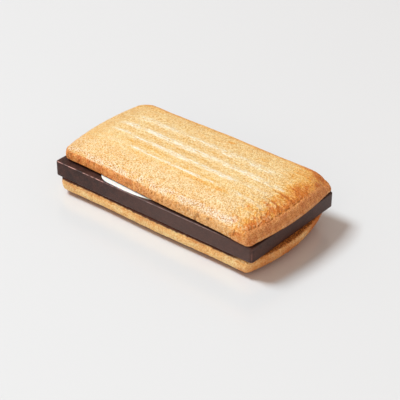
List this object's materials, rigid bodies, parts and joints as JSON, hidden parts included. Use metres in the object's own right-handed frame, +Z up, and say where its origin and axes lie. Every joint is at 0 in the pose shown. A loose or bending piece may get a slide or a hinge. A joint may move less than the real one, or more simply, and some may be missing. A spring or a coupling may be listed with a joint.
{
  "type": "chocolate sandwich biscuit",
  "caption": "Oblong butter biscuit sandwich: a flat slab of dark chocolate and a thin bed of white cream between domed, ridged biscuits.",
  "frame": {"origin": "middle of the bounding box's underside, on the flat spot of the lower biscuit's ridged face", "axes": "+X along the biscuit's length, +Y across it towards the side away from the squeezed-out cream, +Z up"},
  "size_m": [0.073, 0.0382, 0.0165],
  "materials": {
    "bottom_biscuit_crumb": "dry, fine-grained, pale golden baked dough",
    "dark_chocolate": "smooth cast dark chocolate with a soft sheen and a faint greyish bloom",
    "white_cream": "smooth glossy white cream",
    "top_biscuit_crust": "golden baked crust, semi-gloss, speckled, browned towards the edges"
  },
  "bodies": {
    "root": {"bottom_biscuit": "bottom_biscuit_crumb", "chocolate_slab": "dark_chocolate", "cream": "white_cream", "top_biscuit": "top_biscuit_crust"}
  },
  "joints": []
}
